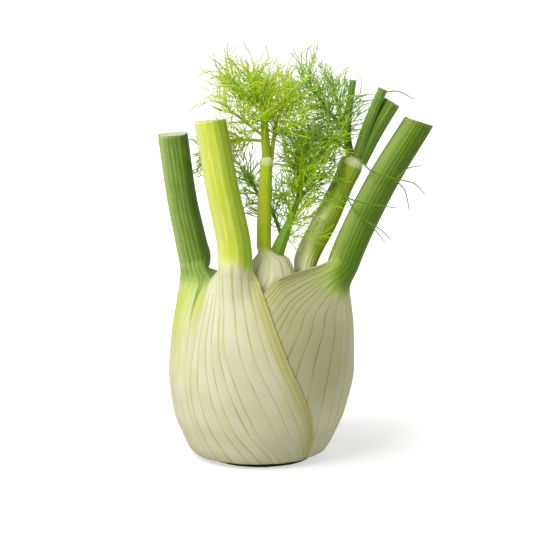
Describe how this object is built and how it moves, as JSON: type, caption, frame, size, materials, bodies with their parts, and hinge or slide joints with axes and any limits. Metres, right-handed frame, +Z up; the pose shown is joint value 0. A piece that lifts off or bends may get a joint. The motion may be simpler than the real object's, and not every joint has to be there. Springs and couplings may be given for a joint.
{
  "type": "fennel bulb",
  "caption": "Fresh fennel bulb of overlapping pale leaf bases on a flat cut base, with cut green stalks and feathery green fronds.",
  "frame": {"origin": "middle of the flat cut base that the bulb stands on", "axes": "+Z up towards the stalks and fronds, -Y the front with the outermost leaf, +X to the viewer's right from the front"},
  "size_m": [0.1465, 0.0767, 0.2098],
  "materials": {
    "crown": "dull cut stem, pale and browned at the rim",
    "leaf_front": "moist cream-white leaf base with green veins, pale yellow-green stalk",
    "leaf_left": "moist cream-white leaf base with green veins, dark green stalk",
    "leaf_right": "moist cream-white leaf base with green veins, mid-green ribbed stalk",
    "leaf_inner_right": "satin olive-green stalk with a pale sheath",
    "leaf_centre": "moist white sheath and satin yellow-green stalk",
    "frond_yellow_green": "fine yellow-green threads",
    "frond_green": "cut green stems with fine green threads",
    "frond_inner": "green stem with fine green threads"
  },
  "bodies": {
    "root": {"crown": "crown", "leaf_front": "leaf_front", "leaf_left": "leaf_left", "leaf_right": "leaf_right", "leaf_inner_right": "leaf_inner_right", "leaf_centre": "leaf_centre", "frond_centre": "frond_yellow_green", "frond_right": "frond_green", "frond_inner": "frond_inner"}
  },
  "joints": []
}
